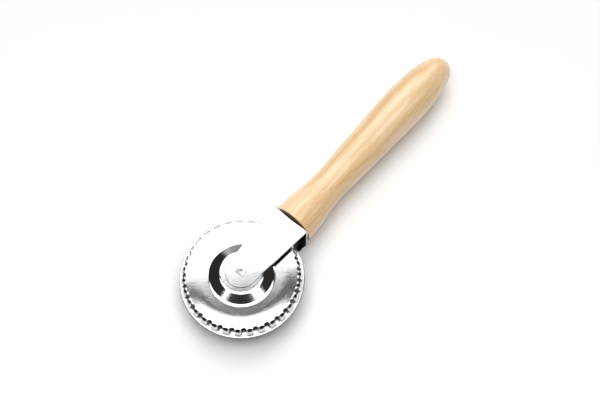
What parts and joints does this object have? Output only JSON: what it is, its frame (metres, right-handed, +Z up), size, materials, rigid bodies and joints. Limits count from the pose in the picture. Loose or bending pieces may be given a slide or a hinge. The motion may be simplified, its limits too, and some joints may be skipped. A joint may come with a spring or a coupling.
{
  "type": "pastry crimping and cutting wheel",
  "caption": "Hand pastry wheel: a thin cutting disc between two dished, slotted crimping rims, turning in a bent-strip steel fork on a turned wooden handle.",
  "frame": {"origin": "on the wheel's axle line, at the plane the tool lies on (the flat underside of the axle rivet's head)", "axes": "+X from the wheel towards the handle, +Z up along the axle when the tool lies flat, +Y across"},
  "size_m": [0.181, 0.0572, 0.0212],
  "materials": {
    "handle_wood": "turned and sanded pale beech, thinly varnished",
    "plated_steel": "bright nickel plate over pressed steel, slightly pebbled",
    "disc_steel": "bright rolled steel with a bevelled edge",
    "plain_steel": "plain bright fasteners"
  },
  "bodies": {
    "frame": {"fork": "plated_steel", "handle": "handle_wood", "handle_screw": "plain_steel", "screw_washer": "plain_steel", "axle_rivet": "plain_steel"},
    "wheel": {"cutting_disc": "disc_steel", "upper_crimper": "plated_steel", "lower_crimper": "plated_steel", "upper_spacer": "plain_steel", "lower_spacer": "plain_steel", "hub_eyelet": "plain_steel"}
  },
  "joints": [
    {"name": "wheel_spin", "type": "hinge", "parent": "frame", "child": "wheel", "pos_m": [0, 0, 0.0106], "axis": [0, 0, 1], "continuous": true}
  ]
}
